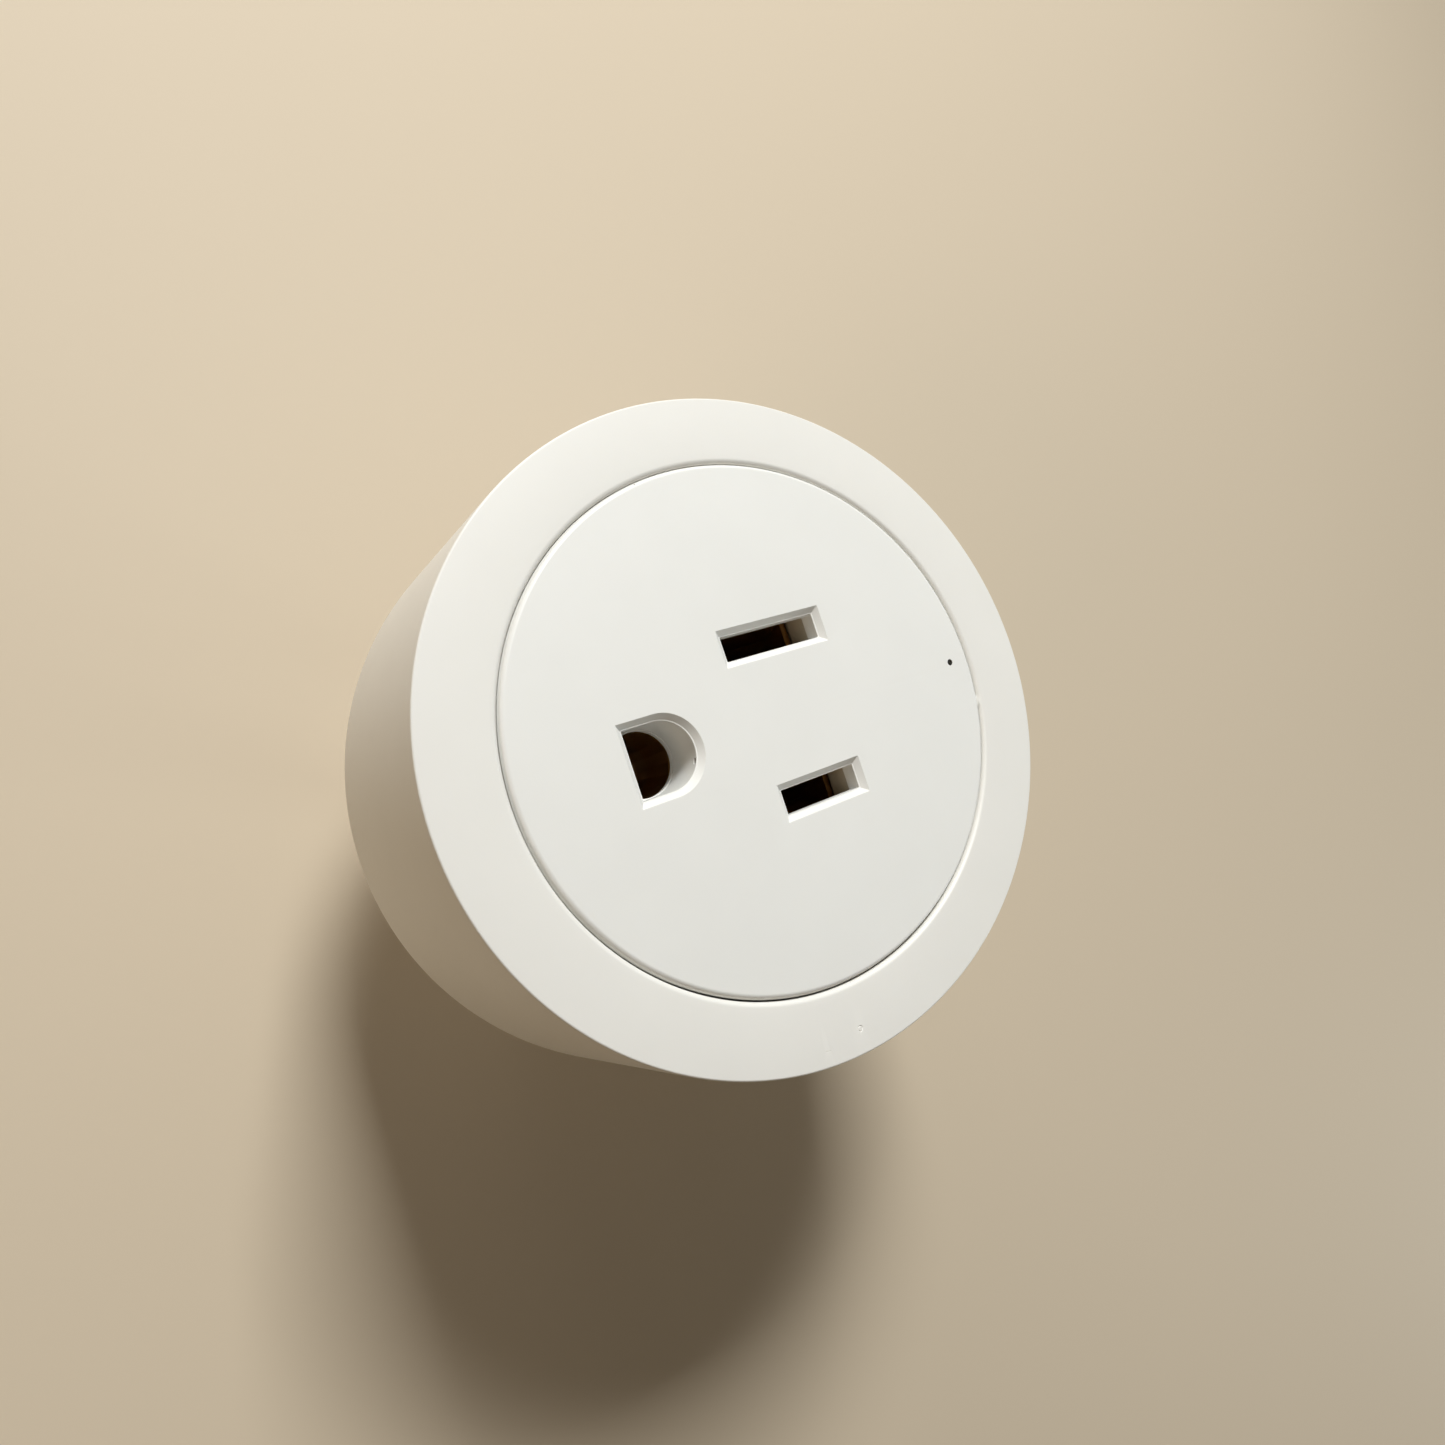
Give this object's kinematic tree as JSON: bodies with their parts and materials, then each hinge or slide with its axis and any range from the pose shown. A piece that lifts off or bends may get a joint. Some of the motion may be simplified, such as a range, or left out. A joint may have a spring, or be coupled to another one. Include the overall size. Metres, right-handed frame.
{
  "type": "smart plug",
  "caption": "Round white smart plug: grounded socket in the face, blades and ground pin at the back, side push button, relay and boards inside.",
  "frame": {"origin": "centre of the flat back face that meets the wall outlet", "axes": "+Z out of the socket face, the prongs point to -Z, +Y from the ground hole towards the blade slots, +X the line side"},
  "size_m": [0.053, 0.053, 0.0477],
  "materials": {
    "white_plastic": "fine satin moulding",
    "face_plastic": "fine satin moulding",
    "rear_plastic": "satin moulding",
    "button_plastic": "satin moulding",
    "nickel_plate": "bright nickel plate",
    "brass": "stamped, satin",
    "zinc_steel": "zinc plate",
    "insulator": "plain moulding",
    "circuit_board": "solder mask",
    "black_plastic": "moulded",
    "capacitor_sleeve": "shrink sleeve",
    "film_case": "moulded case",
    "varistor_coat": "dipped epoxy",
    "resistor_body": "cement coat",
    "tinned_steel": "tin plate",
    "clear_plastic": "clear moulding",
    "plunger_plastic": "moulded",
    "relay_case_plastic": "moulded case",
    "relay_base_plastic": "moulded",
    "bobbin_plastic": "moulded",
    "copper_winding": "enamelled copper wire",
    "relay_iron": "plated iron",
    "contact_alloy": "silver-tipped copper alloy"
  },
  "bodies": {
    "plug": {"outer_shell": "white_plastic", "front_cover": "face_plastic", "rear_cover": "rear_plastic", "neutral_blade": "nickel_plate", "line_blade": "nickel_plate", "ground_pin": "nickel_plate", "neutral_contact": "brass", "line_contact": "brass", "ground_contact": "brass", "ground_strap": "brass", "carrier_screw_1": "zinc_steel", "carrier_screw_2": "zinc_steel", "contact_carrier": "insulator", "contact_retainer": "insulator", "main_board": "circuit_board", "control_board": "circuit_board", "filter_inductor": "black_plastic", "bridge_rectifier": "black_plastic", "converter_chip": "black_plastic", "wifi_chip": "black_plastic", "board_header": "black_plastic", "switch_body": "black_plastic", "bulk_capacitor_1": "capacitor_sleeve", "bulk_capacitor_2": "capacitor_sleeve", "output_capacitor": "capacitor_sleeve", "film_capacitor": "film_case", "varistor": "varistor_coat", "fuse_resistor": "resistor_body", "wifi_shield": "tinned_steel", "status_led": "clear_plastic", "light_pipe": "clear_plastic", "relay_case": "relay_case_plastic", "relay_base": "relay_base_plastic", "relay_bobbin": "bobbin_plastic", "relay_coil": "copper_winding", "relay_core": "relay_iron", "relay_yoke": "relay_iron", "fixed_contact": "contact_alloy"},
    "button": {"button_cap": "button_plastic"},
    "plunger": {"switch_plunger": "plunger_plastic"},
    "armature": {"relay_armature": "relay_iron", "moving_contact": "contact_alloy"}
  },
  "joints": [
    {"name": "button_press", "type": "slide", "parent": "plug", "child": "button", "axis": [0, -1, 0], "range_m": [0, 0.0005], "stiffness_N_per_m": 3000, "springref_m": -0.0001},
    {"name": "switch_travel", "type": "slide", "parent": "plug", "child": "plunger", "axis": [0, -1, 0], "range_m": [0, 0.0004]},
    {"name": "armature_tilt", "type": "hinge", "parent": "plug", "child": "armature", "pos_m": [0.0136, 0.0027, 0.0201], "axis": [1, 0, 0], "range_deg": [0, 4], "stiffness_Nm_per_rad": 0.02, "springref_deg": -2.86}
  ],
  "couplings": [
    {"joint": "switch_travel", "follows": "button_press", "ratio": 0.5}
  ]
}
